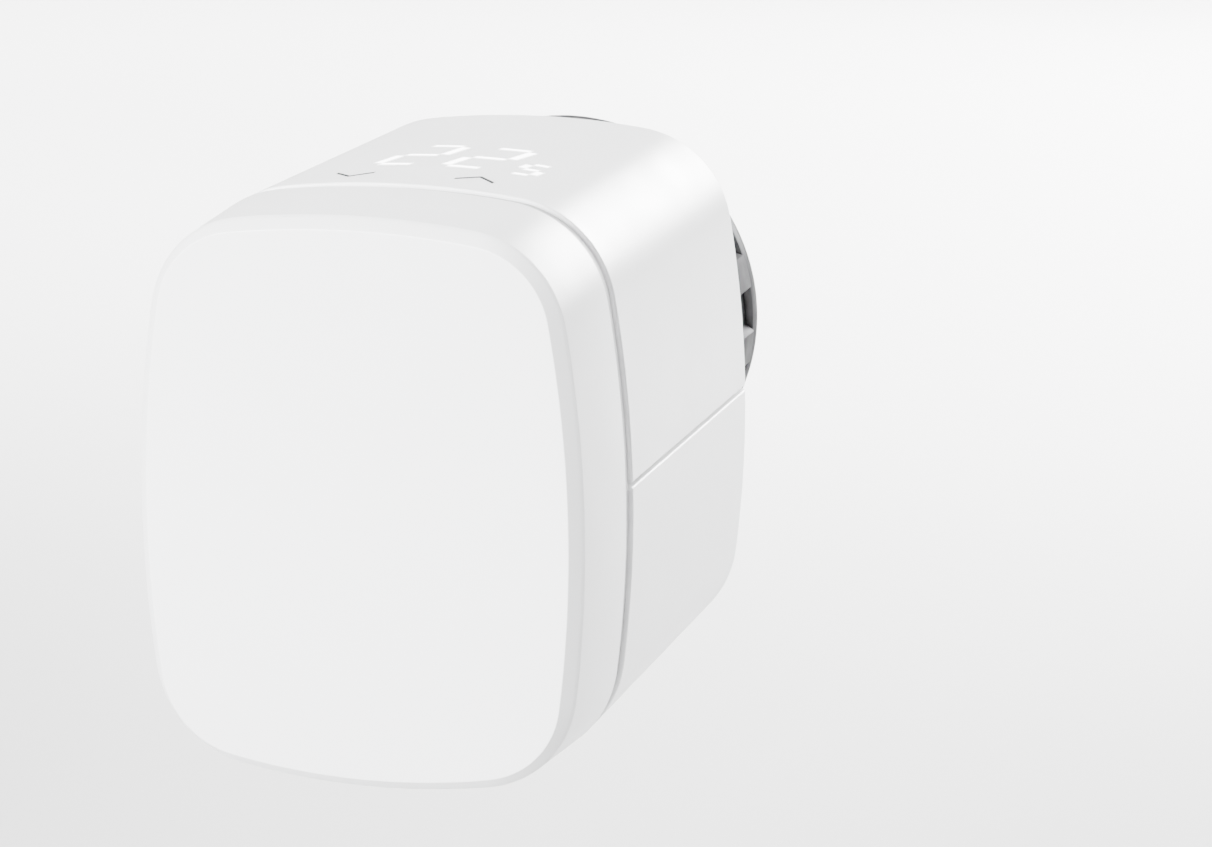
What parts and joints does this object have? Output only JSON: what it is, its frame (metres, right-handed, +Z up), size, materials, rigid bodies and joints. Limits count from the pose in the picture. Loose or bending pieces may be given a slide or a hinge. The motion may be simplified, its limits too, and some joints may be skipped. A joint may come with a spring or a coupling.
{
  "type": "electronic thermostatic radiator valve head",
  "caption": "White upright box-shaped electronic radiator valve head with rounded corners, top display, slide-off battery cover and a ribbed coupling ring behind.",
  "frame": {"origin": "on the valve axis, in the plane where the head seats against the radiator valve", "axes": "+X to the right seen from the room, +Y along the valve axis from the room towards the valve, +Z up"},
  "size_m": [0.054, 0.08, 0.067],
  "materials": {
    "white_satin": "satin white moulded plastic, fine grain",
    "frame_plastic": "dark grey glass-filled nylon",
    "tray_plastic": "black moulded plastic",
    "cell_sleeve": "printed shrink sleeve over a steel can",
    "spring_steel": "nickel-plated spring steel",
    "gearbox_plastic": "light grey glass-filled nylon",
    "gear_acetal": "natural white acetal",
    "gear_acetal_dark": "blue-grey acetal",
    "steel": "ground steel",
    "brass": "turned brass",
    "nickel": "satin nickel plating",
    "bearing_polymer": "low-friction polymer",
    "motor_steel": "zinc-plated drawn steel",
    "motor_plastic": "white moulded nylon",
    "magnet": "ferrite",
    "lamination": "stacked silicon steel",
    "copper": "enamelled copper wire",
    "board": "green solder mask on glass epoxy",
    "board_white": "white solder mask on glass epoxy",
    "chip": "black epoxy package",
    "shield": "tinned steel shield",
    "capacitor": "sleeved capacitor can",
    "led": "phosphor-filled light-emitting chip",
    "guide_white": "white light-box moulding",
    "foam": "conductive foam",
    "polyimide": "polyimide film",
    "wire": "PVC insulated wire",
    "sensor": "epoxy bead"
  },
  "bodies": {
    "head": {"front_panel": "white_satin", "front_ring": "white_satin", "upper_housing": "white_satin", "chassis": "frame_plastic", "battery_tray": "tray_plastic", "battery_left": "cell_sleeve", "battery_right": "cell_sleeve", "spring_contacts": "spring_steel", "series_strap": "spring_steel", "positive_busbar": "spring_steel", "negative_lead": "wire", "gearbox_front_plate": "gearbox_plastic", "gearbox_rear_cover": "gearbox_plastic", "axle_1": "steel", "axle_2": "steel", "thrust_washer": "bearing_polymer", "mounting_neck": "nickel", "neck_pins": "steel", "slip_washer": "bearing_polymer", "motor_can": "motor_steel", "motor_end_cap": "motor_plastic", "motor_terminals": "brass", "motor_leads": "wire", "motor_magnets": "magnet", "main_board": "board", "radio_module": "shield", "control_chips": "chip", "board_capacitors": "capacitor", "antenna": "spring_steel", "room_sensor": "sensor", "display_board": "board_white", "display_driver": "chip", "led_chips": "led", "light_guide": "guide_white", "touch_pads": "foam", "flex_cable": "polyimide", "board_screws": "steel", "display_screws": "steel", "gearbox_screws": "steel", "bracket_screws": "steel", "motor_screws": "steel"},
    "coupling": {"union_nut": "nickel", "grip_ring": "nickel"},
    "cover": {"battery_cover": "white_satin"},
    "rotor": {"motor_shaft": "steel", "motor_pinion": "brass", "motor_armature": "lamination", "motor_windings": "copper", "motor_commutator": "copper"},
    "idler_1": {"idler_gear_1": "gear_acetal"},
    "idler_2": {"idler_gear_2": "gear_acetal_dark"},
    "drive": {"drive_wheel": "gear_acetal"},
    "lift": {"plunger": "brass", "plunger_tip": "bearing_polymer"}
  },
  "joints": [
    {"name": "union_spin", "type": "hinge", "parent": "head", "child": "coupling", "pos_m": [0, 0.003, 0], "axis": [0, 1, 0], "continuous": true},
    {"name": "cover_slide", "type": "slide", "parent": "head", "child": "cover", "axis": [0, 0, -1], "range_m": [0, 0.045]},
    {"name": "rotor_spin", "type": "hinge", "parent": "head", "child": "rotor", "pos_m": [0.00526, -0.04, 0.01123], "axis": [0, 1, 0], "range_deg": [-0.1, 16200.1]},
    {"name": "idler_1_spin", "type": "hinge", "parent": "head", "child": "idler_1", "pos_m": [-0.00508, -0.025, 0.01305], "axis": [0, 1, 0], "range_deg": [-6480.1, 0.1]},
    {"name": "idler_2_spin", "type": "hinge", "parent": "head", "child": "idler_2", "pos_m": [-0.0141, -0.025, 0.00513], "axis": [0, 1, 0], "range_deg": [-0.1, 2160.1]},
    {"name": "drive_spin", "type": "hinge", "parent": "head", "child": "drive", "pos_m": [0, -0.021, 0], "axis": [0, 1, 0], "range_deg": [-540.1, 0.1]},
    {"name": "plunger_slide", "type": "slide", "parent": "head", "child": "lift", "axis": [0, 1, 0], "range_m": [0, 0.0045]}
  ],
  "couplings": [
    {"joint": "drive_spin", "follows": "plunger_slide", "rad_per_m": -2094.4},
    {"joint": "idler_2_spin", "follows": "plunger_slide", "rad_per_m": 8377.6},
    {"joint": "idler_1_spin", "follows": "plunger_slide", "rad_per_m": -25133},
    {"joint": "rotor_spin", "follows": "plunger_slide", "rad_per_m": 62832}
  ]
}
